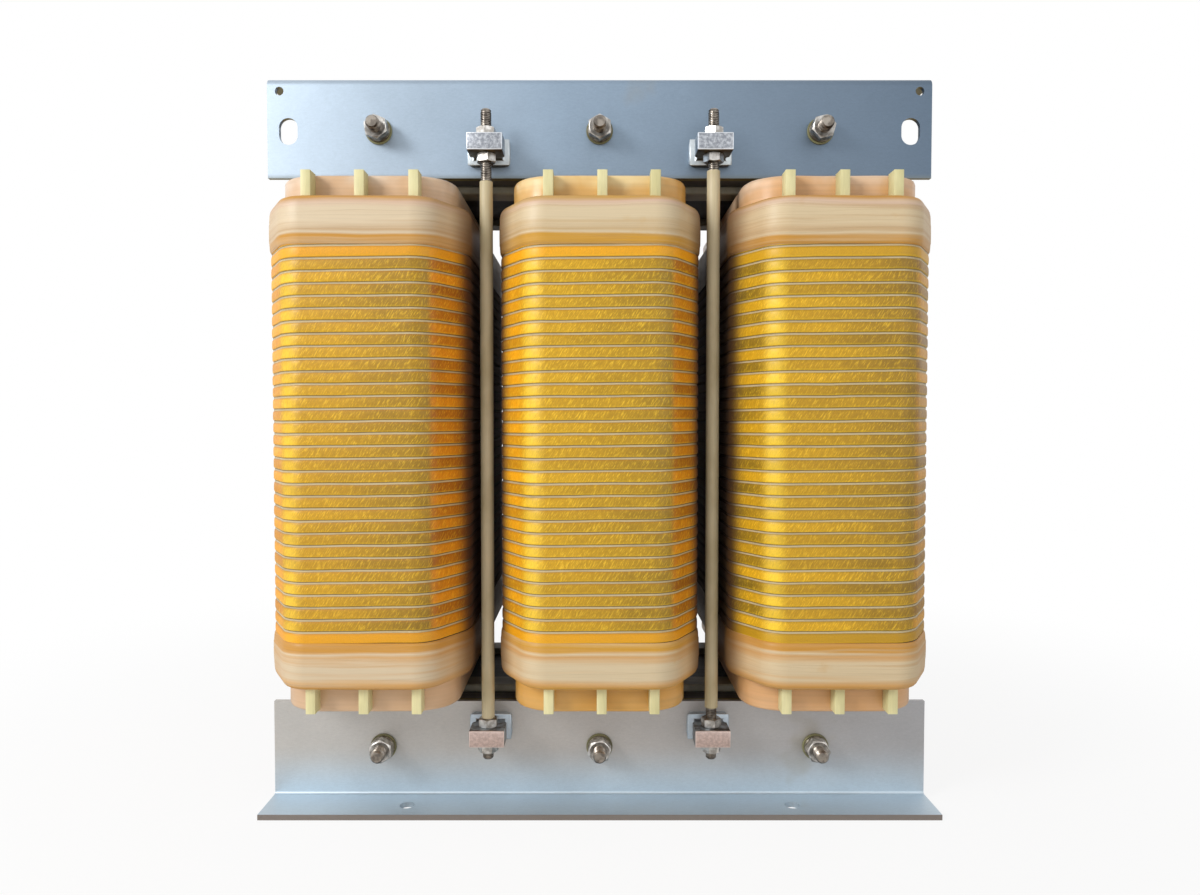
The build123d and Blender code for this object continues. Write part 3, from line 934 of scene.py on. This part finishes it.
@dataclass(frozen=True)
class Plan:
    """Plan of a layer of a coil: a box with slanted corners and rounded front corners."""

    half_width: float
    half_depth: float
    slant: float
    radius: float
    shoulder: float = 2.5
    slant_x: float = 0.8669
    slant_y: float = 0.4985
    cut_width: float = 36.0
    cut_depth: float = 104.0

    def outline(self) -> list[tuple[float, float]]:
        """Gives the eight corners, from the middle of the rear's left end onwards."""
        flat = (self.slant - self.slant_y * self.half_depth) / self.slant_x
        shoulder = (self.slant - self.slant_x * self.half_width) / self.slant_y
        width, depth = self.half_width, self.half_depth
        left = [(-flat, depth), (-width, shoulder), (-width, -shoulder), (-flat, -depth)]
        return left + [(-x, y) for x, y in reversed(left)]

    def sides(self) -> list[tuple[Level, Level, float]]:
        """Gives both ends and the length of every side of the outline."""
        points = self.outline()
        return [(a, b, math.dist(a, b)) for a, b in zip(points, points[1:] + points[:1])]

    def along(self, place: Vector) -> float:
        """Finds how far along the outline a place is.

        Args:
            place: The place, in millimetres.

        Returns:
            The distance from the outline's first corner.
        """
        best, reach, start = math.inf, 0.0, 0.0
        for a, b, run in self.sides():
            way = ((b[0] - a[0]) / run, (b[1] - a[1]) / run)
            step = (place.x - a[0]) * way[0] + (place.y - a[1]) * way[1]
            step = min(max(step, 0.0), run)
            gap = math.hypot(place.x - a[0] - step * way[0], place.y - a[1] - step * way[1])
            if gap < best:
                best, reach = gap, start + step
            start += run
        return reach

    def stacked(
        self, name: str, levels: Sequence[Level], columns: int = 0, tilt: float = 0, wall: float = 9
    ) -> Piece:
        """Builds a layer upwards, level by level.

        Args:
            name: The piece's name.
            levels: Heights, and how far the plan grows there. The first two grow alike.
            columns: How many upright cuts go through each half, for later wandering.
            tilt: The slope of the levels, in degrees, rising to the right.
            wall: The width that is left round the bore.

        Returns:
            The piece, in edit mode.
        """
        (bottom, growth), (top, _) = levels[0], levels[1]
        width, depth = self.half_width + growth, self.half_depth + growth
        piece = Piece.block(name, (-width, -depth, bottom), (width, depth, top))
        for across in (-1, 1):
            for back in (-1, 1):
                normal = (across * self.slant_x, back * self.slant_y, 0)
                point = [part * (self.slant + growth) for part in normal]
                piece.cut((point[0], point[1], bottom), normal, trim=True)
        piece.pick_edges(lambda centre, way: abs(way.z) > 0.9 and abs(centre.y) > depth - 0.5)
        piece.bevel(self.radius * math.tan(math.radians(30)), 5)
        piece.pick_edges(lambda centre, way: abs(way.z) > 0.9 and abs(centre.x) > width - 0.5)
        piece.bevel(self.shoulder, 3)
        for number in range(-columns, columns + 1):
            if columns:
                piece.cut((number * self.cut_width / columns, 0, 0), (1, 0, 0))
                piece.cut((0, number * self.cut_depth / columns, 0), (0, 1, 0))
        piece.pick(lambda centre, normal: normal.z > 0.9)
        if tilt:
            bpy.ops.transform.rotate(
                value=math.radians(tilt), orient_axis="Y", center_override=(0, 0, top * MM)
            )
        for height, spread in levels[2:]:
            piece.extrude((0, 0, height - top))
            factors = (
                (self.half_width + spread) / (self.half_width + growth),
                (self.half_depth + spread) / (self.half_depth + growth),
                1,
            )
            piece.resize(factors, (0, 0, 0))
            top, growth = height, spread
        return piece.bore(wall)


@dataclass
class Winding:
    """The ridged outer windings: flat conductor, taped turn by turn."""

    plan: Plan = Plan(72.0, 157.4, 120.94, 20.0, 7.0)
    turns: int = 32
    groove: float = 0.8
    overlap: float = 2.0
    slope: float = 0.57
    wall: float = 8.4
    slack: float = 0.16
    lift: float = 0.025
    wander: float = 0.7
    wander_grain: float = 30.0
    smooth_angle: float = 28.0
    seed: int = 7

    def rows(self, base: float, top: float) -> tuple[list[Level], list[Level]]:
        """Works out the levels of every turn.

        Args:
            base: Where the turns start.
            top: Where they end.

        Returns:
            The levels with their growth, and the levels with their place in turns.
        """
        dice = random.Random(self.seed)
        pitch = (top - base) / self.turns
        shape = [
            (0.0, 0.0), (0.04, 0.62), (0.09, 0.84), (0.2, 0.96), (0.4, 1.0), (0.6, 0.94),
            (0.72, 0.8), (0.785, 0.5), (0.82, 0.02), (0.88, 0.0), (0.915, 0.32), (0.95, 0.0),
        ]
        levels = [(base - self.overlap - 1, -self.groove), (base - self.overlap, -self.groove)]
        marks = [(base - self.overlap - 1, -0.3), (base - self.overlap, -0.15)]
        for number in range(self.turns):
            start = base + number * pitch
            swell = dice.uniform(-self.slack, 0.0)
            lift = dice.uniform(-self.lift, self.lift)
            for phase, rise in shape:
                shift = lift * math.sin(math.pi * phase) if phase < 0.9 else 0
                height = start + (phase + shift) * pitch
                levels.append((height, -self.groove + rise * (self.groove + swell)))
                marks.append((height, number + phase))
        levels += [(top, -self.groove), (top + self.overlap, -self.groove)]
        marks += [(top, self.turns), (top + self.overlap, self.turns + 0.1)]
        return levels, marks

    def wrap(self, piece: Piece, marks: Sequence[Level]) -> None:
        """Maps the piece: along the tape in metres, and upwards in turns.

        Args:
            piece: The winding.
            marks: Heights, and their place in turns.
        """
        heights = [height for height, _ in marks]
        slope = math.tan(math.radians(self.slope))
        mesh = bmesh.from_edit_mesh(piece.shape.data)
        layer = mesh.loops.layers.uv.verify()
        spots = {}
        for vertex in mesh.verts:
            place = vertex.co / MM
            level = place.z - slope * place.x
            upper = min(max(bisect_right(heights, level), 1), len(heights) - 1)
            (low, first), (high, last) = marks[upper - 1], marks[upper]
            share = min(max((level - low) / (high - low), 0.0), 1.0)
            spots[vertex.index] = (self.plan.along(place) * MM, first + share * (last - first))
        length = sum(run for _, _, run in self.plan.sides()) * MM
        for face in mesh.faces:
            reaches = [spots[loop.vert.index][0] for loop in face.loops]
            for loop, reach in zip(face.loops, reaches):
                past = length if max(reaches) - reach > length / 2 else 0
                loop[layer].uv = (reach + past, spots[loop.vert.index][1])
        bmesh.update_edit_mesh(piece.shape.data)

    def build(self, tones: dict[Coil, TapeFinish]) -> None:
        """Builds the three windings.

        Args:
            tones: The finish of each coil.
        """
        low, high = span_of(f"outer_winding_{Coil.MIDDLE.value}")
        levels, marks = self.rows(low.z, high.z)
        pattern = self.plan.stacked("winding", levels, 4, self.slope, self.wall)
        self.wrap(pattern, marks)
        pattern.closed()
        for coil in Coil:
            node = f"outer_winding_{coil.value}"
            piece = pattern.copy(f"taped_{node}", (middle_of(node).x, 0, 0))
            piece.waver(self.wander, self.wander_grain, "Z")
            piece.hand_over(tones[coil].material(), Slot.TAPE, [node], self.smooth_angle)
        pattern.drop()


@dataclass
class Bands:
    """The taped bands at both ends of every outer winding."""

    plan: Plan = Plan(72.0, 157.4, 120.94, 20.0, 7.0)
    swell: float = 1.1
    wall: float = 7.0
    wander: float = 0.3
    wander_grain: float = 35.0
    low_tan: Colour = ink(206, 158, 98)
    low_end: Colour = ink(214, 164, 98)
    high_end: Colour = ink(216, 184, 160)
    line: Colour = ink(160, 124, 84)

    def levels(self, height: float) -> list[Level]:
        """Gives the band's profile, from the turns to the end of the coil."""
        profile = [
            (0.0, -0.2), (0.01, -0.2), (0.03, 0.3), (0.08, 0.55), (0.2, 0.75), (0.22, 0.95),
            (0.45, 1.0), (0.6, 0.92), (0.62, 0.8), (0.8, 0.62), (0.87, 0.3), (0.93, -0.4),
            (0.97, -1.3), (0.99, -2.2), (1.0, -3.2),
        ]
        return [(share * height, self.swell * rise) for share, rise in profile]

    def build(self, tones: dict[Coil, tuple[Colour, Colour, Colour]]) -> None:
        """Builds the six bands.

        Args:
            tones: The cream, tan and amber of each coil.
        """
        low, high = span_of(f"end_band_{Height.UPPER.value}_{Coil.MIDDLE.value}")
        pattern = self.plan.stacked("band", self.levels(high.z - low.z), 4, 0, self.wall).closed()
        for level, coil in product(Height, Coil):
            node = f"end_band_{level.value}_{coil.value}"
            low, high = span_of(node)
            upper = level is Height.UPPER
            turns_edge, coil_edge = (low.z, high.z) if upper else (high.z, low.z)
            place = (middle_of(node).x, 0, turns_edge)
            piece = pattern.copy(f"taped_{node}", place, (0, 0 if upper else 180, 0))
            piece.waver(self.wander, self.wander_grain, "NORMAL")
            cream, tan, amber = tones[coil]
            finish = BandFinish(
                name=f"tape_{node}",
                centre=middle_of(node).x,
                turns_edge=turns_edge,
                coil_edge=coil_edge,
                cream=cream,
                tan=tan if upper else self.low_tan,
                amber=amber,
                end=self.high_end if upper else self.low_end,
                line=self.line,
            )
            piece.hand_over(finish.material(), Slot.BAND, [node])
        pattern.drop()


@dataclass
class InnerRings:
    """The middle windings, whose ends stand out of the bands."""

    plan: Plan = Plan(62.7, 136.3, 110.94, 26.0, 9.0)
    wall: float = 12.0
    shortfall: float = 3.0
    edge: float = 3.0
    wander: float = 0.6
    wander_grain: float = 40.0

    def build(self, tones: dict[Coil, WrapFinish]) -> None:
        """Builds the three middle windings.

        Args:
            tones: The finish of each coil.
        """
        low, high = span_of(f"middle_winding_{Coil.MIDDLE.value}")
        high.z -= self.shortfall
        rounding = [(0, -self.edge), (0.01, -self.edge), (0.4, -1.6), (1.2, -0.6), (3, 0)]
        levels = [(low.z + height, growth) for height, growth in rounding]
        levels += [(low.z + share * (high.z - low.z), 0.0) for share in (0.2, 0.4, 0.6, 0.8)]
        levels += [(high.z - height, growth) for height, growth in reversed(rounding[1:])]
        pattern = self.plan.stacked("ring", levels, 3, 0, self.wall).closed()
        for coil in Coil:
            node = f"middle_winding_{coil.value}"
            piece = pattern.copy(f"wrapped_{node}", (middle_of(node).x, 0, 0))
            piece.waver(self.wander, self.wander_grain, "NORMAL")
            piece.hand_over(tones[coil].material(), Slot.WRAP, [node])
        pattern.drop()


@dataclass
class Sticks:
    """The sticks that hold the air ducts open."""

    width: float = 7.0
    depth: float = 12.1
    edge: float = 0.7
    shortfall: float = 5.0
    lean: float = 0.06
    ducts: tuple[tuple[float, float], ...] = ((82.6, 24.0), (109.2, 33.0), (136.3, 37.0))
    seed: int = 3

    def build(self, finish: LaminateFinish) -> None:
        """Builds every coil's sticks.

        Args:
            finish: The sticks' finish.
        """
        dice = random.Random(self.seed)
        low, high = span_of(f"duct_sticks_{Coil.MIDDLE.value}")
        low.z += self.shortfall
        high.z -= self.shortfall
        half, deep = self.width / 2, self.depth / 2
        pattern = Piece.block("stick", (-half, -deep, low.z), (half, deep, high.z))
        pattern.pick(lambda centre, normal: abs(normal.z) > 0.9)
        pattern.inset(0.6)
        pattern.pick_edges(lambda centre, way: abs(way.z) > 0.9)
        pattern.bevel(self.edge, 2)
        pattern.pick_edges(lambda c, way: abs(way.z) < 0.1 and abs(abs(c.x) - half) < 0.05)
        pattern.bevel(0.3, 1)
        pattern.closed()
        material = finish.material()
        for coil in Coil:
            node = f"duct_sticks_{coil.value}"
            sticks = []
            for (face, pitch), side, step in product(self.ducts, Side, (-1, 0, 1)):
                x = middle_of(node).x + step * pitch
                y = side.value * (face + deep)
                lean = dice.uniform(-self.lean, self.lean)
                sticks.append(pattern.copy("stick_copy", (x, y, 0), (0, lean, 0)))
            joined(f"cut_{node}", sticks).hand_over(material, Slot.STICK, [node])
        pattern.drop()


@dataclass
class Fasteners:
    """Studs, rods, nuts and washers, with their threads and chamfers."""

    stud_radius: float = 5.0
    stud_pitch: float = 1.5
    stud_thread: float = 26.0
    rod_radius: float = 4.0
    rod_pitch: float = 1.25
    thread_depth: float = 0.55
    lower_thread: float = 46.0
    upper_thread: float = 62.0
    stud_nut_flats: float = 16.0
    stud_nut_height: float = 8.4
    rod_nut_flats: float = 13.0
    rod_nut_height: float = 6.5
    lug_half_height: float = 6.2
    washer_hole: float = 5.1
    washer_thickness: float = 2.0
    disc_radius: float = 10.0
    ring_radius: float = 9.0
    rounding: float = 0.25
    sleeve_wall: float = 0.45

    def thread(self, base: float, top: float, radius: float, pitch: float) -> list[Level]:
        """Gives the profile of a thread.

        Args:
            base: Where it starts.
            top: Where it ends.
            radius: Its outer radius.
            pitch: The height of one turn.

        Returns:
            The heights and radii.
        """
        profile = []
        height = base
        while height + pitch < top:
            profile.append((height + 0.15 * pitch, radius))
            profile.append((height + 0.45 * pitch, radius))
            profile.append((height + 0.75 * pitch, radius - self.thread_depth))
            profile.append((height + 0.85 * pitch, radius - self.thread_depth))
            height += pitch
        return profile

    def nut(self, flats: float, height: float, hole: float) -> Piece:
        """Makes a nut that stands on the origin.

        Args:
            flats: Its width across flats.
            height: Its height.
            hole: The radius of its thread.

        Returns:
            The nut.
        """
        corner = flats / 2 / math.cos(math.pi / 6)
        crown = 0.47 * flats
        drop = (corner - crown) * 0.58
        turned = [(0, crown), (drop, corner), (height - drop, corner), (height, crown)]
        blank = Piece.turned("nut_blank", turned, 36)
        nut = Piece.turned("nut", [(-1, corner), (height + 1, corner)], 6)
        nut.modify("BOOLEAN", operation="INTERSECT", solver="EXACT", object=blank.shape)
        blank.drop()
        nut.edit()
        nut.pick(lambda centre, normal: abs(normal.z) > 0.99)
        nut.inset(crown - hole - 0.5)
        nut.pick(lambda c, way: abs(way.z) > 0.99 and math.hypot(c.x, c.y) < 0.1)
        nut.resize((1, 1, (height - 1.4) / height), (0, 0, height / 2))
        nut.resize(((hole - 0.4) / (hole + 0.5),) * 2 + (1,), (0, 0, 0))
        return nut.closed()

    def washer(self, radius: float) -> Piece:
        """Makes a washer of that radius, which lies on the origin."""
        thickness, flat = self.washer_thickness, radius - self.rounding
        profile = [(0, flat), (self.rounding, radius)]
        profile += [(thickness - height, width) for height, width in reversed(profile)]
        return Piece.turned("washer", profile, 40).bore(flat - self.washer_hole).closed()

    def spread(
        self,
        pattern: Piece,
        name: str,
        places: Sequence[tuple[Triple, Triple]],
        finish: bpy.types.Material,
        slot: Slot,
        node: str,
    ) -> None:
        """Copies a pattern to its places and hands the whole over.

        Args:
            pattern: What is copied.
            name: The name of the whole.
            places: The shift and turns of each copy.
            finish: The material.
            slot: The material slot.
            node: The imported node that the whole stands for.
        """
        copies = [pattern.copy(f"{name}_copy", shift, turns) for shift, turns in places]
        joined(name, copies).hand_over(finish, slot, [node])
        pattern.drop()

    def stud_places(self, away: float) -> list[tuple[Triple, Triple]]:
        """Gives the places on all studs at one distance from the core's middle plane."""
        places = []
        for side, level, coil in product(Side, Height, Coil):
            height = middle_of(f"yoke_studs_{level.value}").z
            x = middle_of(f"coil_former_{coil.value}").x
            turns = (side.value * -90, 17.0 * (len(places) % 4), 0)
            places.append(((x, side.value * away, height), turns))
        return places

    def build_studs(self, finishes: dict[str, bpy.types.Material]) -> None:
        """Builds the clamp studs and what they carry.

        Args:
            finishes: The materials of threads, nuts, washers and insulating washers.
        """
        disc_face = -span_of("insulating_washers")[0].y
        ring_face = -span_of("steel_washers")[0].y
        reach = -span_of("yoke_studs_lower")[0].y
        radius = self.stud_radius
        half = self.thread(reach - self.stud_thread, reach - 1.4, radius, self.stud_pitch)
        half += [(reach - 1.2, radius - 0.1), (reach, radius - 1.2)]
        profile = [(-height, width) for height, width in reversed(half)] + half
        slot = Slot.FASTENER
        for level in Height:
            pattern = Piece.turned("stud", profile, 24).closed()
            node = f"yoke_studs_{level.value}"
            places = []
            for coil in Coil:
                x = middle_of(f"coil_former_{coil.value}").x
                places.append(((x, 0, middle_of(node).z), (90, 0, 0)))
            self.spread(pattern, f"threaded_{node}", places, finishes["thread"], slot, node)
        disc = self.washer(self.disc_radius)
        places = self.stud_places(disc_face - self.washer_thickness)
        paper = finishes["paper"]
        self.spread(disc, "insulating_discs", places, paper, Slot.WASHER, "insulating_washers")
        ring = self.washer(self.ring_radius)
        places = self.stud_places(ring_face - self.washer_thickness)
        self.spread(ring, "plain_washers", places, finishes["washer"], slot, "steel_washers")
        nut = self.nut(self.stud_nut_flats, self.stud_nut_height, radius)
        places = self.stud_places(ring_face)
        self.spread(nut, "stud_nuts", places, finishes["nut"], slot, "yoke_stud_nuts")

    def build_rods(self, finishes: dict[str, bpy.types.Material]) -> None:
        """Builds the tie rods, their sleeves and their nuts.

        Args:
            finishes: The materials of threads, nuts and sleeves.
        """
        low, high = span_of("tie_rod_front_left")
        radius = self.rod_radius
        profile = [(low.z, radius - 1.0), (low.z + 1.0, radius - 0.1)]
        profile += self.thread(low.z + 1.1, low.z + self.lower_thread, radius, self.rod_pitch)
        profile += self.thread(high.z - self.upper_thread, high.z - 1.1, radius, self.rod_pitch)
        profile += [(high.z - 1.0, radius - 0.1), (high.z, radius - 1.0)]
        rod = Piece.turned("rod", profile, 20).closed()
        for side, place in product(Side, ("left", "right")):
            node = f"tie_rod_{side.word}_{place}"
            spot = middle_of(node)
            twin = rod.copy(f"threaded_{node}", (spot.x, spot.y, 0))
            twin.hand_over(finishes["thread"], Slot.FASTENER, [node])
            node = f"rod_sleeve_{side.word}_{place}"
            low, high = span_of(node)
            outer = (high.x - low.x) / 2
            ends = [(low.z, outer - 0.2), (low.z + 0.2, outer)]
            ends += [(high.z - 0.2, outer), (high.z, outer - 0.2)]
            sleeve = Piece.turned(f"tube_{node}", ends, 28)
            sleeve.bore(self.sleeve_wall).closed()
            twin = sleeve.copy(f"tube_{node}", (spot.x, spot.y, 0))
            twin.hand_over(finishes["sleeve"], Slot.SLEEVE, [node])
            sleeve.drop()
        rod.drop()
        for side in Side:
            node = f"tie_rod_nuts_{side.word}"
            nut = self.nut(self.rod_nut_flats, self.rod_nut_height, radius)
            places = []
            for level in Height:
                height = middle_of(f"tie_lugs_{level.value}_{side.word}").z
                under = height - self.lug_half_height - self.rod_nut_height
                bases = (height + self.lug_half_height, under)
                for base, place in product(bases, ("left", "right")):
                    spot = middle_of(f"tie_rod_{side.word}_{place}")
                    places.append(((spot.x, spot.y, base), (0, 0, 14.0 * (len(places) % 5))))
            self.spread(nut, f"chamfered_{node}", places, finishes["nut"], Slot.FASTENER, node)


@dataclass
class Lugs:
    """The castings that take the tie rods: a rounded flange, a hollow waist and a head."""

    clamp_face: float = 87.0
    reach: float = 119.0
    flange_half_width: float = 16.0
    flange_half_height: float = 10.0
    flange_step: float = 4.0
    flange_radius: float = 4.5
    head_edge: float = 0.8

    def pattern(self) -> Piece:
        """Makes a lug that faces the front, with its middle on the Z axis."""
        face, step_face = -self.clamp_face, -self.clamp_face - self.flange_step
        width, height, depth = self.flange_half_width, self.flange_half_height, step_face
        lug = Piece.block("lug", (-width, depth, -height), (width, face, height))
        lug.pick(lambda centre, normal: normal.y < -0.9)
        steps = [
            (-0.7, 15.5, 9.5), (-0.4, 14.6, 8.6), (-0.3, 12.4, 7.2), (-0.9, 11.0, 6.3),
            (-2.4, 10.4, 5.9), (-2.4, 10.9, 5.9), (-1.8, 12.2, 6.1), (-0.9, 13.0, 6.2),
            (-9.0, 13.0, 6.2), (-8.2, 13.0, 6.2), (-0.6, 12.7, 5.9),
        ]
        for step, new_width, new_height in steps:
            lug.extrude((0, step, 0))
            lug.resize((new_width / width, 1, new_height / height), (0, 0, 0))
            width, height, depth = new_width, new_height, depth + step
        lug.extrude((0, -self.reach - depth, 0))
        lug.resize(((width - 0.9) / width, 1, (height - 0.9) / height), (0, 0, 0))
        lug.pick_edges(lambda c, way: abs(way.y) > 0.9 and c.y > step_face and abs(c.x) > 15.5)
        lug.bevel(self.flange_radius, 4)
        lug.pick_edges(lambda c, way: abs(way.y) > 0.99 and c.y < face - 12)
        lug.bevel(self.head_edge, 2)
        return lug.closed()

    def build(self, upper: LugFinish, lower: LugFinish) -> None:
        """Builds the eight lugs.

        Args:
            upper: The finish of the upper ones.
            lower: The finish of the lower ones.
        """
        lug = self.pattern()
        materials = {Height.UPPER: upper.material(), Height.LOWER: lower.material()}
        for level, side in product(Height, Side):
            node = f"tie_lugs_{level.value}_{side.word}"
            height = middle_of(node).z
            turns = (0, 0, 0 if side is Side.FRONT else 180)
            pair = []
            for place in ("left", "right"):
                x = middle_of(f"tie_rod_{side.word}_{place}").x
                pair.append(lug.copy("lug_copy", (x, 0, height), turns))
            joined(f"cast_{node}", pair).hand_over(materials[level], Slot.LUG, [node])
        lug.drop()


@dataclass
class Frame:
    """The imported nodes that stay: core, clamps, boards, strips and the hidden layers."""

    def dress(self) -> None:
        """Gives every node that stays its finish."""
        # The left, middle and right tones of both clamp sheets are a painted reflection.
        upper = SheetFinish(
            "upper_clamp_sheet",
            ink(176, 190, 203), ink(142, 160, 178), ink(98, 114, 131), ink(118, 124, 122),
            472.0, 478.0, ink(136, 126, 88),
        ).material()
        lower = SheetFinish(
            "lower_clamp_sheet",
            ink(196, 194, 190), ink(192, 188, 184), ink(176, 176, 178), ink(194, 208, 218),
            6.0, 44.0, ink(126, 106, 88),
        ).material()
        board = LaminateFinish("board_laminate", ink(124, 118, 74), ink(92, 84, 50)).material()
        strip = LaminateFinish("strip_laminate", ink(150, 148, 132), ink(110, 108, 96)).material()
        core = CoreFinish("core_laminations").material()
        wrap = WrapFinish("hidden_wrap", ink(214, 168, 104), ink(182, 126, 60)).material()
        finishes = {
            "core_": core,
            "upper_clamp": upper,
            "lower_clamp": lower,
            "yoke_board": board,
            "coil_support": strip,
            "yoke_stud_tubes": board,
            "coil_former": board,
            "inner_winding": wrap,
        }
        for (name, node), (start, finish) in product(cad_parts.items(), finishes.items()):
            if name.startswith(start):
                node.data.materials.clear()
                node.data.materials.append(finish)
                LOG.info("%s: %s", name, finish.name)


@dataclass
class Studio:
    """A pale floor, soft light, a white surround and the camera."""

    camera_place: Triple = (-0.006, -0.740, 0.292)
    lens: float = 25.74
    pitch: float = 1.84
    shift: float = 0.007
    sensor: float = 36.0
    white: Colour = (1.0, 1.0, 1.0, 1.0)
    soft: float = 0.42

    def lamp(self, name: str, place: Triple, aim: Triple, size: float, power: float) -> None:
        """Adds a soft lamp.

        Args:
            name: The lamp's name.
            place: Where it hangs.
            aim: What it points at.
            size: Its width.
            power: Its power, in watts.
        """
        start_fresh()
        bpy.ops.object.light_add(type="AREA", location=place)
        lamp = bpy.context.object
        lamp.name = name
        lamp.data.size = size
        lamp.data.energy = power
        lamp.rotation_euler = (Vector(aim) - Vector(place)).to_track_quat("-Z", "Y").to_euler()

    def surround(self) -> None:
        """Lights softly from all round, and shows white to the camera and in reflections."""
        world = bpy.data.worlds.new("surround")
        bpy.context.scene.world = world
        sky = Tree(world)
        rays = sky.node("ShaderNodeLightPath").outputs
        seen = sky.maths("MAXIMUM", rays["Is Camera Ray"], rays["Is Glossy Ray"])
        seen = sky.maths("MAXIMUM", seen, rays["Is Transmission Ray"])
        levels = (self.soft, 1.0)
        soft, white = (
            sky.node("ShaderNodeBackground", {}, {"Color": self.white, "Strength": level})
            for level in levels
        )
        ends = {0: seen, 1: soft.outputs[0], 2: white.outputs[0]}
        blend = sky.node("ShaderNodeMixShader", {}, ends)
        sky.node("ShaderNodeOutputWorld", {}, {"Surface": blend.outputs[0]})

    def build(self) -> None:
        """Builds the floor, the lamps, the surround and the camera."""
        start_fresh()
        bpy.ops.mesh.primitive_plane_add(size=8, location=(0, 0, -0.0005))
        floor = bpy.context.object
        floor.name = "floor"
        bench = Bench("floor_paper")
        bench.finished(Base_Color=ink(244, 244, 244), Roughness=0.9)
        glow = bench.node("ShaderNodeEmission", {}, {"Color": self.white, "Strength": 1.0})
        path = bench.node("ShaderNodeLightPath")
        x, y, _ = bench.axes()
        away = bench.maths("SQRT", x * x + y * y)
        seen = Value(bench, path.outputs["Is Camera Ray"]) * (0.88 + away.between(0.3, 0.9) * 0.12)
        ends = {0: seen, 1: bench.shader.outputs[0], 2: glow.outputs[0]}
        blend = bench.node("ShaderNodeMixShader", {}, ends)
        bench.plug(bench.output.inputs["Surface"], blend.outputs[0])
        floor.data.materials.append(bench.material)
        self.surround()
        self.lamp("key", (-1.7, -1.5, 1.3), (0, 0, 0.25), 0.8, 36)
        self.lamp("fill", (1.5, -1.8, 0.7), (0, 0, 0.25), 1.4, 6)
        bpy.ops.object.camera_add(location=self.camera_place)
        camera = bpy.context.object
        camera.rotation_euler = (math.radians(90 - self.pitch), 0, 0)
        camera.data.lens = self.lens
        camera.data.sensor_width = self.sensor
        camera.data.shift_x = self.shift
        bpy.context.scene.camera = camera
        bpy.context.scene.view_settings.view_transform = "Standard"


def main() -> None:
    """Builds every part in order."""
    logging.basicConfig(level=logging.INFO, format="%(name)s: %(message)s")
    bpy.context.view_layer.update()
    Studio().build()
    Frame().dress()
    centres = {coil: middle_of(f"coil_former_{coil.value}").x for coil in Coil}
    # In each tape, glow is a painted highlight, olive is painted shade towards the right mixed with
    # patchy tone, and the slant colours are painted light.
    tapes = {
        Coil.LEFT: TapeFinish(
            name="tape_left",
            centre=centres[Coil.LEFT],
            flat=ink(198, 148, 8),
            olive=ink(148, 112, 4),
            light=ink(236, 192, 46),
            glow=ink(248, 204, 50),
            left=ink(240, 164, 10),
            left_deep=ink(212, 138, 10),
            right=ink(224, 140, 6),
            right_deep=ink(170, 98, 4),
        ),
        Coil.MIDDLE: TapeFinish(
            name="tape_middle",
            centre=centres[Coil.MIDDLE],
            flat=ink(202, 154, 8),
            olive=ink(150, 116, 4),
            light=ink(238, 196, 48),
            glow=ink(254, 212, 54),
            left=ink(240, 166, 8),
            left_deep=ink(208, 144, 10),
            right=ink(218, 138, 6),
            right_deep=ink(166, 98, 4),
        ),
        Coil.RIGHT: TapeFinish(
            name="tape_right",
            centre=centres[Coil.RIGHT],
            flat=ink(198, 150, 6),
            olive=ink(142, 108, 4),
            light=ink(232, 188, 42),
            glow=ink(252, 212, 50),
            left=ink(206, 156, 16),
            left_deep=ink(134, 108, 20),
            right=ink(196, 136, 12),
            right_deep=ink(140, 100, 10),
            contrast=0.3,
        ),
    }
    Winding().build(tapes)
    Bands().build(
        {
            Coil.LEFT: (ink(216, 196, 164), ink(194, 160, 118), ink(200, 142, 48)),
            Coil.MIDDLE: (ink(216, 196, 160), ink(196, 164, 116), ink(204, 150, 40)),
            Coil.RIGHT: (ink(216, 194, 156), ink(194, 158, 112), ink(198, 140, 44)),
        }
    )
    InnerRings().build(
        {
            Coil.LEFT: WrapFinish("ring_left", ink(232, 212, 190), ink(216, 176, 134)),
            Coil.MIDDLE: WrapFinish("ring_middle", ink(242, 214, 156), ink(218, 160, 68)),
            Coil.RIGHT: WrapFinish("ring_right", ink(236, 204, 172), ink(220, 168, 112)),
        }
    )
    Sticks().build(LaminateFinish("stick_laminate", ink(232, 224, 172), ink(212, 204, 150), 0.1))
    finishes = {
        # Each steel's second colour is its duller tone and the painted shade on faces that turn
        # down.
        "thread": SteelFinish("thread_steel", ink(166, 158, 148), ink(60, 52, 46)).material(),
        "nut": SteelFinish("nut_steel", ink(216, 214, 210), ink(112, 104, 94)).material(),
        "washer": SteelFinish("washer_steel", ink(160, 154, 142), ink(92, 84, 70)).material(),
        "paper": LaminateFinish("disc_laminate", ink(140, 138, 98), ink(104, 100, 70)).material(),
        "sleeve": LaminateFinish(
            "sleeve_laminate", ink(210, 196, 160), ink(188, 173, 134), 0.05
        ).material(),
    }
    fasteners = Fasteners()
    fasteners.build_studs(finishes)
    fasteners.build_rods(finishes)
    # In each lug finish, the third colour is a painted highlight round the face's edge and the
    # sixth is painted shade underneath.
    Lugs().build(
        LugFinish(
            "upper_lug_zinc", ink(188, 192, 198), ink(142, 146, 154), ink(226, 230, 234),
            ink(116, 124, 132), ink(196, 204, 208), ink(74, 62, 36), 0.16,
        ),
        LugFinish(
            "lower_lug_zinc", ink(206, 184, 176), ink(190, 168, 160), ink(222, 204, 196),
            ink(96, 92, 90), ink(186, 198, 208), ink(70, 62, 58), 0.05,
        ),
    )


if __name__ == "__main__":
    main()
